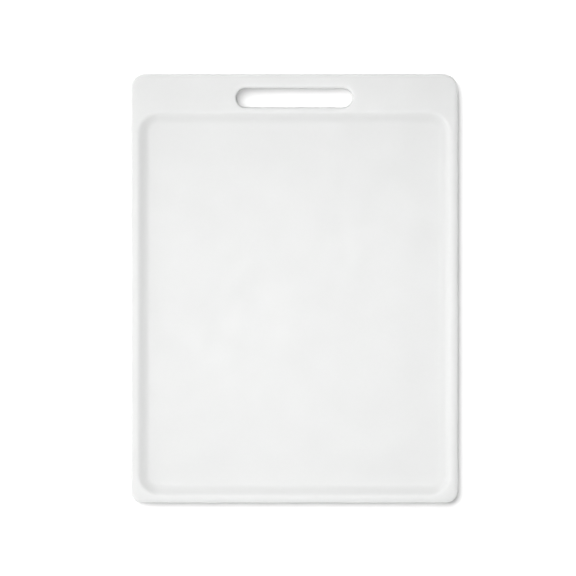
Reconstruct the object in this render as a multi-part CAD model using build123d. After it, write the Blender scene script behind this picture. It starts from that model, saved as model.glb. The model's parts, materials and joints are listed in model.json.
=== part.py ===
from build123d import *

import os
from math import cos, radians, tan

# A moulded plastic cutting board with a shallow well, a raised rim and a hand slot.
# It lies flat: X runs across it, Y runs along it towards the hand slot, and Z is up.
# The origin is the middle of the underside. Sizes are in millimetres and angles in degrees.

# Slab
WIDTH = 280.0
LENGTH = 367.0
THICKNESS = 10.0
HANDLE_END_CORNER_RADIUS = 13.0
PLAIN_END_CORNER_RADIUS = 10.0
UNDERSIDE_EDGE_RADIUS = 3.0

# Rim: a low crown falls away towards a small rounding at the top edge
CROWN_TILT = 11.0
CROWN_RADIUS = 12.0
TOP_EDGE_RADIUS = 1.8

# Well. Each margin runs from the slab's side to halfway down the sloping wall.
WELL_DEPTH = 4.2
WELL_SIDE_MARGIN = 9.6
WELL_PLAIN_END_MARGIN = 9.3
WELL_HANDLE_END_MARGIN = 36.4
WELL_CORNER_RADIUS = 14.5
WALL_SLOPE = 38.0
WALL_CREST_RADIUS = 5.5
WALL_FOOT_RADIUS = 12.0

# Hand slot
SLOT_LENGTH = 99.5
SLOT_WIDTH = 16.5
SLOT_TO_HANDLE_END = 12.0
SLOT_EDGE_RADIUS = 2.0

# The cutters run this far past the faces that they open.
CUT_PAST = 1.0

# Two roundings that share a face leave this much of it flat between them.
FLAT_BETWEEN = 0.2

# An edge counts as level when its height varies by less than this.
LEVEL_WITHIN = 1e-4

FLOOR_HEIGHT = THICKNESS - WELL_DEPTH
WELL_CENTRE_Y = (WELL_PLAIN_END_MARGIN - WELL_HANDLE_END_MARGIN) / 2
SLOT_CENTRE_Y = LENGTH / 2 - SLOT_TO_HANDLE_END - SLOT_WIDTH / 2


def edges_at_height(shape, height):
    """The edges that lie flat at one height."""
    return shape.edges().filter_by_position(Axis.Z, height, height).filter_by(
        lambda edge: edge.bounding_box().size.Z < LEVEL_WITHIN
    )


def crown_bevel(solid):
    """Bevels the top edge by the crown's tilt, wide enough for the two roundings to meet on it."""
    bevel = CROWN_RADIUS * tan(radians(CROWN_TILT / 2))
    bevel += TOP_EDGE_RADIUS * tan(radians((90 - CROWN_TILT) / 2))
    across = bevel * cos(radians(CROWN_TILT)) + FLAT_BETWEEN
    down = across * tan(radians(CROWN_TILT))
    edges = edges_at_height(solid, THICKNESS)
    solid = chamfer(edges, across, down, reference=top_face(solid))
    solid = fillet(edges_at_height(solid, THICKNESS - down), TOP_EDGE_RADIUS)
    return fillet(edges_at_height(solid, THICKNESS), CROWN_RADIUS)


def slab():
    """The plain slab: two larger corners at the handle end, a crowned top edge and a rounded lower one."""
    outline = Rectangle(WIDTH, LENGTH)
    outline = fillet(outline.vertices().group_by(Axis.Y)[-1], HANDLE_END_CORNER_RADIUS)
    outline = fillet(outline.vertices().group_by(Axis.Y)[0], PLAIN_END_CORNER_RADIUS)
    solid = crown_bevel(extrude(outline, THICKNESS))
    return fillet(edges_at_height(solid, 0), UNDERSIDE_EDGE_RADIUS)


def well_cutter():
    """What the well takes away: a shallow tray shape that widens upwards and has a rounded foot."""
    half_run = WELL_DEPTH / 2 / tan(radians(WALL_SLOPE))
    floor_width = WIDTH - 2 * (WELL_SIDE_MARGIN + half_run)
    floor_length = LENGTH - WELL_PLAIN_END_MARGIN - WELL_HANDLE_END_MARGIN - 2 * half_run
    floor = RectangleRounded(floor_width, floor_length, WELL_CORNER_RADIUS - half_run)
    placed = Pos(0, WELL_CENTRE_Y, FLOOR_HEIGHT) * floor
    cutter = extrude(placed, WELL_DEPTH + CUT_PAST, taper=WALL_SLOPE - 90)
    return fillet(edges_at_height(cutter, FLOOR_HEIGHT), WALL_FOOT_RADIUS)


def slot_cutter():
    """What the hand slot takes away, straight through the slab."""
    outline = Pos(0, SLOT_CENTRE_Y, -CUT_PAST) * SlotOverall(SLOT_LENGTH, SLOT_WIDTH)
    return extrude(outline, THICKNESS + 2 * CUT_PAST)


def top_face(solid):
    """The highest flat face."""
    return solid.faces().filter_by(GeomType.PLANE).sort_by(Axis.Z)[-1]


def underside_face(solid):
    """The flat face that the board lies on."""
    return solid.faces().filter_by(GeomType.PLANE).sort_by(Axis.Z)[0]


def smallest_hole(face):
    """The edges round the smallest hole in a face."""
    return face.inner_wires().sort_by(lambda wire: wire.length)[0].edges()


def board():
    """The whole board, one moulded piece."""
    solid = slab() - well_cutter()
    solid = fillet(smallest_hole(top_face(solid)), WALL_CREST_RADIUS)
    solid -= slot_cutter()
    solid = fillet(smallest_hole(top_face(solid)), SLOT_EDGE_RADIUS)
    return fillet(smallest_hole(underside_face(solid)), SLOT_EDGE_RADIUS)


os.makedirs("parts", exist_ok=True)
export_step(board(), "parts/board.step")
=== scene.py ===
import json
import math

import bmesh
import bpy
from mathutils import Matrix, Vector
from mathutils.geometry import delaunay_2d_cdt


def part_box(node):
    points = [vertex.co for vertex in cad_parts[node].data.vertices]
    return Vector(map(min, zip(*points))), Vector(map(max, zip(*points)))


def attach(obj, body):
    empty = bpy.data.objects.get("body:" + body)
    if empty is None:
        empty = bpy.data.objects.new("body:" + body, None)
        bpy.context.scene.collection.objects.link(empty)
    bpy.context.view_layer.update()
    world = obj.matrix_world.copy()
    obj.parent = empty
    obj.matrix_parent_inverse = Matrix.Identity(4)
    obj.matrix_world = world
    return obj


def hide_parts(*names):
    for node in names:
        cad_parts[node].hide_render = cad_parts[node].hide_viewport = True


# A white moulded cutting board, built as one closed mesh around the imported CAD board.
# X runs across the board, Y along it towards the hand slot, and Z is up. Metres and radians.

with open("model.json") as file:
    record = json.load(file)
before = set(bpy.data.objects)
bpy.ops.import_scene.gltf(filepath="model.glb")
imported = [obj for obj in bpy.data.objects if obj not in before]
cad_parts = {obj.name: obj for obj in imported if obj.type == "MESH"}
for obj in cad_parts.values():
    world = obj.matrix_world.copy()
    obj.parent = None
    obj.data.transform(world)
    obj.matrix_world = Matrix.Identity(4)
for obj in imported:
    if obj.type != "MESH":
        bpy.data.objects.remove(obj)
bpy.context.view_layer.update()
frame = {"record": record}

MM = 0.001
QUARTER_TURN = math.pi / 2

# Roundings and slopes of the board, as the CAD board has them
HANDLE_END_CORNER = 13 * MM
PLAIN_END_CORNER = 10 * MM
WELL_CORNER = 14.5 * MM
UNDERSIDE_EDGE = 3 * MM
TOP_EDGE = 1.8 * MM
CROWN_TILT = math.radians(11)
CROWN_RADIUS = 12 * MM
WALL_SLOPE = math.radians(38)
WALL_CREST = 5.5 * MM
WALL_FOOT = 12 * MM
SLOT_EDGE = 2 * MM

# The fine raised line that the mould's two halves leave round the side
PARTING_LINE_HEIGHT = 5.2 * MM
PARTING_LINE_HALF_WIDTH = 0.25 * MM
PARTING_LINE_PROUD = 0.08 * MM

# Mesh density: points along an outline, and the grid that fills a flat patch, clear of its outlines
POINT_SPACING = 3 * MM
CORNER_STEPS = 14
EDGE_STEPS = 8
PATCH_SPACING = 4 * MM
PATCH_CLEARANCE = 2 * MM

# Two triangles join into a four-sided face when they are this close to flat and to square.
JOIN_WITHIN = 0.1

# Points closer than this are one point.
SAME_POINT = 1e-7

# How polished by handling each kind of surface is, from 0, as moulded, to 1
POLISH_RIM = 1.0
POLISH_SLOT = 0.8
POLISH_UNDERSIDE_EDGE = 0.6

# Polyethylene
PLASTIC_COLOUR = (0.75, 0.754, 0.75)
PLASTIC_SHADE = (0.741, 0.745, 0.742)
PLASTIC_ROUGHNESS = 0.45
ROUGHNESS_SPREAD = 0.04
POLISHED_ROUGHNESS = 0.43
PLASTIC_IOR = 1.5
PLASTIC_SPECULAR = 0.5
SCATTER_DEPTH = 4 * MM
SCUFF_STRETCH = (1, 22, 1)
SCUFF_ROUGHNESS = 0.07
STIPPLE_HEIGHT = 0.02 * MM

# The noises that vary the plastic: the size of each one's features, and its levels of finer detail
CLOUDS = (45 * MM, 3)
FLECKS = (3 * MM, 4)
SMEARS = (18 * MM, 3)
SCUFFS = (1.2 * MM, 4)
STIPPLE = (0.7 * MM, 2)

# The values between which a noise's effect goes from none to full. The tone's noise is clouds times flecks.
TONE_SPAN = (0.1, 0.4)
SMEAR_SPAN = (0.3, 0.7)
SCUFF_SPAN = (0.62, 0.7)

# Softboxes: each one's name, position, size, power in watts, and whether it shows in reflections
SOFTBOXES = (
    ("overhead", (0, 0, 2.6), 0.5, 23.3, True),
    ("near_overhead", (-0.05, -0.04, 0.8), 0.5, 3.95, False),
    ("near_end", (0, -0.5, 1.1), 0.7, 2.4, False),
    ("low_left", (-2.26, 0, 0.82), 0.9, 17.5, False),
    ("low_far_left", (-1.67, 1.67, 0.42), 0.6, 8, False),
)

# A wide soft sun that lights only the floor: the direction it comes from, its spread and its strength
FLOOR_SUN_FROM = (-0.53, 0.59, 0.61)
FLOOR_SUN_SPREAD = math.radians(88)
FLOOR_SUN_STRENGTH = 12

# Surroundings
HORIZON_STRENGTH = 1.0
HORIZON_BAND = (0.08, 0.2)
FLOOR_SIZE = 12
FLOOR_COLOUR = (0.42, 0.42, 0.42)

# Camera
LENS = 150
SENSOR = 36
FRAME_WIDTH = 0.4926
FRAME_MIDDLE = (-0.00527, 0.00025)


class RoundedRectangle:
    """An outline about X = 0, with one radius for its two low corners and one for its two high ones."""

    def __init__(self, half_width, low, high, low_radius, high_radius):
        self.half_width = half_width
        self.low = low
        self.high = high
        self.low_radius = low_radius
        self.high_radius = high_radius

    def inset(self, distance):
        """The parallel outline this far inside."""
        return RoundedRectangle(
            self.half_width - distance,
            self.low + distance,
            self.high - distance,
            self.low_radius - distance,
            self.high_radius - distance,
        )

    def depth(self, x, y):
        """How far a point lies inside the outline: negative outside it."""
        middle = (self.low + self.high) / 2
        radius = self.high_radius if y > middle else self.low_radius
        over_x = abs(x) - self.half_width + radius
        over_y = abs(y - middle) - (self.high - self.low) / 2 + radius
        return radius - math.hypot(max(over_x, 0), max(over_y, 0)) - min(max(over_x, over_y), 0)

    def corners(self):
        """Centre, radius and first direction of each corner, anticlockwise from the low right one."""
        low_x = self.half_width - self.low_radius
        high_x = self.half_width - self.high_radius
        low_y = self.low + self.low_radius
        high_y = self.high - self.high_radius
        return (
            (low_x, low_y, self.low_radius, -QUARTER_TURN),
            (high_x, high_y, self.high_radius, 0),
            (-high_x, high_y, self.high_radius, QUARTER_TURN),
            (-low_x, low_y, self.low_radius, 2 * QUARTER_TURN),
        )

    def straight_steps(self):
        """How many steps each straight side takes, from the right side on."""
        side = self.high - self.low - self.low_radius - self.high_radius
        high_end = 2 * (self.half_width - self.high_radius)
        low_end = 2 * (self.half_width - self.low_radius)
        return [max(1, round(length / POINT_SPACING)) for length in (side, high_end, side, low_end)]

    def points(self, straight_steps):
        """The outline's points in order. Outlines with the same steps have matching points."""
        ends = []
        for x, y, radius, start in self.corners():
            for step in range(CORNER_STEPS + 1):
                angle = start + QUARTER_TURN * step / CORNER_STEPS
                ends.append((x + radius * math.cos(angle), y + radius * math.sin(angle)))
        per_corner = CORNER_STEPS + 1
        points = []
        for corner, steps in enumerate(straight_steps):
            points += ends[corner * per_corner:(corner + 1) * per_corner]
            from_x, from_y = points[-1]
            to_x, to_y = ends[(corner + 1) * per_corner % len(ends)]
            for step in range(1, steps):
                part = step / steps
                points.append((from_x + (to_x - from_x) * part, from_y + (to_y - from_y) * part))
        return points


# A profile is a list of (inset, height, polish), swept round an outline.


def arc_steps(start, end):
    """Even steps of an angle from start to end, both included."""
    return [start + (end - start) * step / EDGE_STEPS for step in range(EDGE_STEPS + 1)]


def side_profile():
    """The slab's side: from the underside, round the lower edge and over the parting line."""
    profile = []
    for angle in arc_steps(0, QUARTER_TURN):
        inset = UNDERSIDE_EDGE * (1 - math.sin(angle))
        profile.append((inset, UNDERSIDE_EDGE * (1 - math.cos(angle)), POLISH_UNDERSIDE_EDGE))
    return profile + [
        (0, PARTING_LINE_HEIGHT - PARTING_LINE_HALF_WIDTH, 0),
        (-PARTING_LINE_PROUD, PARTING_LINE_HEIGHT, 0),
        (0, PARTING_LINE_HEIGHT + PARTING_LINE_HALF_WIDTH, 0),
    ]


def crown_profile(thickness):
    """The slab's rim: round the small top edge and over the low crown to the land."""
    crown_fall = CROWN_RADIUS * (1 - math.cos(CROWN_TILT))
    edge_middle = thickness - crown_fall - TOP_EDGE * math.cos(CROWN_TILT)
    profile = []
    for angle in arc_steps(QUARTER_TURN, CROWN_TILT):
        inset = TOP_EDGE * (1 - math.sin(angle))
        profile.append((inset, edge_middle + TOP_EDGE * math.cos(angle), POLISH_RIM))
    crest_inset = TOP_EDGE * (1 - math.sin(CROWN_TILT)) + CROWN_RADIUS * math.sin(CROWN_TILT)
    for angle in arc_steps(CROWN_TILT, 0)[1:]:
        drop = CROWN_RADIUS * (1 - math.cos(angle))
        polish = POLISH_RIM * angle / CROWN_TILT
        profile.append((crest_inset - CROWN_RADIUS * math.sin(angle), thickness - drop, polish))
    return profile


def floor_to_halfway(drop):
    """How far the edge of the flat floor lies inside the line halfway down the well's wall."""
    foot_rise = WALL_FOOT * (1 - math.cos(WALL_SLOPE))
    return (drop / 2 - foot_rise) / math.tan(WALL_SLOPE) + WALL_FOOT * math.sin(WALL_SLOPE)


def wall_profile(land_height, floor_height):
    """The well's wall: over the crest, down the slope and round the foot."""
    drop = land_height - floor_height
    crest_fall = WALL_CREST * (1 - math.cos(WALL_SLOPE))
    crest_inset = (crest_fall - drop / 2) / math.tan(WALL_SLOPE) - WALL_CREST * math.sin(WALL_SLOPE)
    profile = []
    for angle in arc_steps(0, WALL_SLOPE):
        inset = crest_inset + WALL_CREST * math.sin(angle)
        height = land_height - WALL_CREST * (1 - math.cos(angle))
        profile.append((inset, height, POLISH_RIM * math.sin(math.pi * angle / WALL_SLOPE)))
    for angle in arc_steps(WALL_SLOPE, 0):
        inset = floor_to_halfway(drop) - WALL_FOOT * math.sin(angle)
        profile.append((inset, floor_height + WALL_FOOT * (1 - math.cos(angle)), 0))
    return profile


def slot_profile(thickness):
    """The hand slot, from the land down to the underside, with the same rounding at both."""
    top = []
    for angle in arc_steps(0, QUARTER_TURN):
        inset = -SLOT_EDGE * (1 - math.sin(angle))
        polish = POLISH_SLOT * math.sin(2 * angle)
        top.append((inset, thickness - SLOT_EDGE * (1 - math.cos(angle)), polish))
    bottom = [(inset, thickness - height, polish) for inset, height, polish in reversed(top)]
    return top + bottom


class BoardMesh:
    """The board's mesh while it is being built: swept rings joined by flat patches."""

    def __init__(self):
        self.mesh = bmesh.new()
        self.polish = self.mesh.verts.layers.float.new("polish")

    def add_vertex(self, x, y, height, polish=0.0):
        vertex = self.mesh.verts.new((x, y, height))
        vertex[self.polish] = polish
        return vertex

    def add_rings(self, outline, profile):
        """Sweeps a profile round an outline and returns the first and the last ring of vertices."""
        steps = outline.straight_steps()
        rings = []
        for inset, height, polish in profile:
            points = outline.inset(inset).points(steps)
            rings.append([self.add_vertex(x, y, height, polish) for x, y in points])
        for ring, following in zip(rings, rings[1:]):
            for i in range(len(ring)):
                j = (i + 1) % len(ring)
                self.mesh.faces.new((ring[i], ring[j], following[j], following[i]))
        return rings[0], rings[-1]

    def add_patch(self, rings, depth):
        """Fills the flat region between rings with an even grid. depth(x, y) is positive inside it."""
        height = rings[0][0].co.z
        vertices = []
        edges = []
        for ring in rings:
            start = len(vertices)
            vertices += ring
            edges += [(start + i, start + (i + 1) % len(ring)) for i in range(len(ring))]
        columns = int(max(vertex.co.x for vertex in vertices) / PATCH_SPACING)
        rows = int(max(abs(vertex.co.y) for vertex in vertices) / PATCH_SPACING)
        for row in range(-rows, rows + 1):
            for column in range(-columns, columns + 1):
                x = column * PATCH_SPACING
                y = row * PATCH_SPACING
                if depth(x, y) > PATCH_CLEARANCE:
                    vertices.append(self.add_vertex(x, y, height))
        flat = [vertex.co.to_2d() for vertex in vertices]
        _, _, triangles, origins, _, _ = delaunay_2d_cdt(flat, edges, [], 0, SAME_POINT)
        faces = []
        for triangle in triangles:
            corners = [vertices[origins[i][0]] for i in triangle]
            middle = sum((corner.co for corner in corners), Vector()) / 3
            if depth(middle.x, middle.y) > 0:
                faces.append(self.mesh.faces.new(corners))
        bmesh.ops.join_triangles(
            self.mesh,
            faces=faces,
            angle_face_threshold=JOIN_WITHIN,
            angle_shape_threshold=JOIN_WITHIN,
        )

    def finish(self, name):
        """Joins points that coincide and turns the mesh into a smooth-shaded object."""
        bmesh.ops.remove_doubles(self.mesh, verts=self.mesh.verts, dist=SAME_POINT)
        bmesh.ops.recalc_face_normals(self.mesh, faces=self.mesh.faces)
        data = bpy.data.meshes.new(name)
        self.mesh.to_mesh(data)
        self.mesh.free()
        data.shade_smooth()
        piece = bpy.data.objects.new(name, data)
        bpy.context.scene.collection.objects.link(piece)
        return piece


def read_outlines(record):
    """Outlines of the slab, the well halfway down its wall and the slot, and the top and floor heights."""
    openings = {opening["name"]: opening["box_m"] for opening in record["physics"]["openings"]}
    mounts = {mount["name"]: mount["pos_m"] for mount in record["mounts"]}
    low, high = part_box("board")
    slab = RoundedRectangle(high.x, low.y, high.y, PLAIN_END_CORNER, HANDLE_END_CORNER)
    slot_low, slot_high = openings["hand_slot"]
    radius = (slot_high[1] - slot_low[1]) / 2
    slot = RoundedRectangle(slot_high[0] + radius, slot_low[1], slot_high[1], radius, radius)
    floor_height = mounts["well_floor"][2]
    wider = floor_to_halfway(high.z - floor_height)
    floor_low, floor_high = openings["well"]
    well = RoundedRectangle(
        floor_high[0] + wider, floor_low[1] - wider, floor_high[1] + wider, WELL_CORNER, WELL_CORNER
    )
    return slab, well, slot, high.z, floor_height


def build_board(slab, well, slot, land_height, floor_height):
    """The whole board as one closed mesh."""
    side = side_profile() + crown_profile(land_height)
    wall = wall_profile(land_height, floor_height)
    through = slot_profile(land_height)
    board = BoardMesh()
    underside_rim, land_rim = board.add_rings(slab, side)
    well_rim, floor_rim = board.add_rings(well, wall)
    slot_rim, slot_exit = board.add_rings(slot, through)
    land_outline = slab.inset(side[-1][0])
    underside_outline = slab.inset(side[0][0])
    well_outline = well.inset(wall[0][0])
    slot_outline = slot.inset(through[0][0])

    def land_depth(x, y):
        return min(land_outline.depth(x, y), -well_outline.depth(x, y), -slot_outline.depth(x, y))

    def underside_depth(x, y):
        return min(underside_outline.depth(x, y), -slot_outline.depth(x, y))

    board.add_patch([land_rim, well_rim, slot_rim], land_depth)
    board.add_patch([floor_rim], well.inset(wall[-1][0]).depth)
    board.add_patch([underside_rim, slot_exit], underside_depth)
    return board.finish("moulded_board")


class NodeMaterial:
    """A Principled material with short calls for the nodes that vary it over the surface."""

    def __init__(self, name):
        self.material = bpy.data.materials.new(name)
        self.material.use_nodes = True
        self.nodes = self.material.node_tree.nodes
        self.links = self.material.node_tree.links
        self.shader = self.nodes["Principled BSDF"]
        self.place = self.nodes.new("ShaderNodeTexCoord").outputs["Object"]

    def noise(self, size, detail, stretch=(1, 1, 1)):
        """Soft noise from 0 to 1, with features of this size in metres, longer where stretch is more."""
        mapping = self.nodes.new("ShaderNodeMapping")
        mapping.inputs["Scale"].default_value = [1 / (size * factor) for factor in stretch]
        texture = self.nodes.new("ShaderNodeTexNoise")
        texture.inputs["Scale"].default_value = 1
        texture.inputs["Detail"].default_value = detail
        self.links.new(self.place, mapping.inputs["Vector"])
        self.links.new(mapping.outputs["Vector"], texture.inputs["Vector"])
        return texture.outputs["Fac"]

    def ramp(self, value, span, low, high):
        """From low to high, as a value goes over its span."""
        spread = self.nodes.new("ShaderNodeMapRange")
        spread.inputs["From Min"].default_value = span[0]
        spread.inputs["From Max"].default_value = span[1]
        spread.inputs["To Min"].default_value = low
        spread.inputs["To Max"].default_value = high
        self.links.new(value, spread.inputs["Value"])
        return spread.outputs["Result"]

    def feed(self, socket, value):
        """Sets a socket to a number, or links another socket to it."""
        if isinstance(value, (int, float)):
            socket.default_value = value
        else:
            self.links.new(value, socket)

    def mix(self, factor, low, high):
        """Between two numbers or sockets."""
        blend = self.nodes.new("ShaderNodeMix")
        self.links.new(factor, blend.inputs["Factor"])
        self.feed(blend.inputs["A"], low)
        self.feed(blend.inputs["B"], high)
        return blend.outputs["Result"]

    def mix_colour(self, factor, low, high):
        """Between two colours."""
        blend = self.nodes.new("ShaderNodeMix")
        blend.data_type = "RGBA"
        self.links.new(factor, blend.inputs["Factor"])
        blend.inputs["A"].default_value = (*low, 1)
        blend.inputs["B"].default_value = (*high, 1)
        return blend.outputs["Result"]

    def combine(self, operation, first, second):
        """One Math node of two sockets or numbers."""
        node = self.nodes.new("ShaderNodeMath")
        node.operation = operation
        self.feed(node.inputs[0], first)
        self.feed(node.inputs[1], second)
        return node.outputs["Value"]

    def attribute(self, name):
        """A number stored on the mesh."""
        node = self.nodes.new("ShaderNodeAttribute")
        node.attribute_name = name
        return node.outputs["Fac"]


def plastic_tone(plastic):
    """The plastic's colour, faintly uneven in clouds and flecks."""
    clouds = plastic.noise(*CLOUDS)
    flecks = plastic.noise(*FLECKS)
    tone = plastic.ramp(plastic.combine("MULTIPLY", clouds, flecks), TONE_SPAN, 0, 1)
    return plastic.mix_colour(tone, PLASTIC_SHADE, PLASTIC_COLOUR)


def plastic_roughness(plastic, polish):
    """Uneven and lightly scuffed where it is as moulded, and even where it is polished."""
    smoothest = PLASTIC_ROUGHNESS - ROUGHNESS_SPREAD
    roughest = PLASTIC_ROUGHNESS + ROUGHNESS_SPREAD
    moulded = plastic.ramp(plastic.noise(*SMEARS), SMEAR_SPAN, smoothest, roughest)
    scuffs = plastic.ramp(plastic.noise(*SCUFFS, SCUFF_STRETCH), SCUFF_SPAN, 0, SCUFF_ROUGHNESS)
    return plastic.mix(polish, plastic.combine("ADD", moulded, scuffs), POLISHED_ROUGHNESS)


def plastic_stipple(plastic, polish):
    """The fine stipple that the mould leaves, worn away where the plastic is polished."""
    height = plastic.ramp(polish, (0, 1), STIPPLE_HEIGHT, 0)
    bump = plastic.nodes.new("ShaderNodeBump")
    bump.inputs["Distance"].default_value = 1
    plastic.feed(bump.inputs["Height"], plastic.combine("MULTIPLY", plastic.noise(*STIPPLE), height))
    return bump.outputs["Normal"]


def polyethylene():
    """White polyethylene: satin, finely stippled, and translucent enough to glow at its edges."""
    plastic = NodeMaterial("white_polyethylene")
    polish = plastic.attribute("polish")
    inputs = plastic.shader.inputs
    plastic.feed(inputs["Base Color"], plastic_tone(plastic))
    plastic.feed(inputs["Roughness"], plastic_roughness(plastic, polish))
    plastic.feed(inputs["Normal"], plastic_stipple(plastic, polish))
    inputs["IOR"].default_value = PLASTIC_IOR
    inputs["Specular IOR Level"].default_value = PLASTIC_SPECULAR
    inputs["Subsurface Weight"].default_value = 1
    inputs["Subsurface Radius"].default_value = (1, 1, 1)
    inputs["Subsurface Scale"].default_value = SCATTER_DEPTH
    return plastic.material


def studio_paint():
    """The floor's plain matt paint, which the light brings up to white."""
    paint = NodeMaterial("studio_paint")
    paint.shader.inputs["Base Color"].default_value = (*FLOOR_COLOUR, 1)
    paint.shader.inputs["Roughness"].default_value = 1
    paint.shader.inputs["Specular IOR Level"].default_value = 0
    return paint.material


def add_floor():
    """A plain white studio floor."""
    bpy.ops.mesh.primitive_plane_add(size=FLOOR_SIZE)
    floor = bpy.context.object
    floor.name = "studio_floor"
    floor.data.materials.append(studio_paint())
    return floor


def add_lamp(light, position):
    """A lamp that faces the board's middle."""
    lamp = bpy.data.objects.new(light.name, light)
    lamp.location = position
    lamp.rotation_euler = (-Vector(position)).to_track_quat("-Z", "Y").to_euler()
    bpy.context.scene.collection.objects.link(lamp)
    return lamp


def add_softbox(name, position, size, power, reflected):
    """A square area light that the camera doesn't see."""
    light = bpy.data.lights.new(name, "AREA")
    light.size = size
    light.energy = power
    lamp = add_lamp(light, position)
    lamp.visible_camera = False
    lamp.visible_glossy = reflected


def add_floor_sun(floor):
    """Keeps the floor white, with the board's soft shadow on it towards the right and the near end."""
    light = bpy.data.lights.new("floor_sun", "SUN")
    light.angle = FLOOR_SUN_SPREAD
    light.energy = FLOOR_SUN_STRENGTH
    lamp = add_lamp(light, FLOOR_SUN_FROM)
    lit = bpy.data.collections.new("lit_by_floor_sun")
    lit.objects.link(floor)
    lamp.light_linking.receiver_collection = lit


def add_horizon():
    """A white band along the horizon as the backdrop, which fades to black higher up."""
    world = bpy.data.worlds.new("studio")
    bpy.context.scene.world = world
    world.use_nodes = True
    nodes, links = world.node_tree.nodes, world.node_tree.links
    place = nodes.new("ShaderNodeTexCoord")
    split = nodes.new("ShaderNodeSeparateXYZ")
    band = nodes.new("ShaderNodeMapRange")
    band.inputs["From Min"].default_value = HORIZON_BAND[0]
    band.inputs["From Max"].default_value = HORIZON_BAND[1]
    band.inputs["To Min"].default_value = HORIZON_STRENGTH
    band.inputs["To Max"].default_value = 0
    links.new(place.outputs["Generated"], split.inputs["Vector"])
    links.new(split.outputs["Z"], band.inputs["Value"])
    links.new(band.outputs["Result"], nodes["Background"].inputs["Strength"])
    nodes["Background"].inputs["Color"].default_value = (1, 1, 1, 1)


def add_camera(height):
    """A long lens straight above the board, which lies a little right of the frame's middle."""
    data = bpy.data.cameras.new("camera")
    data.lens = LENS
    data.sensor_width = SENSOR
    camera = bpy.data.objects.new("camera", data)
    camera.location = (*FRAME_MIDDLE, height + FRAME_WIDTH * LENS / SENSOR)
    bpy.context.scene.collection.objects.link(camera)
    bpy.context.scene.camera = camera


slab, well, slot, land_height, floor_height = read_outlines(frame["record"])
board = build_board(slab, well, slot, land_height, floor_height)
board.data.materials.append(polyethylene())
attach(board, "root")
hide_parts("board")

add_floor_sun(add_floor())
for softbox in SOFTBOXES:
    add_softbox(*softbox)
add_horizon()
add_camera(land_height)
bpy.context.scene.view_settings.view_transform = "Standard"
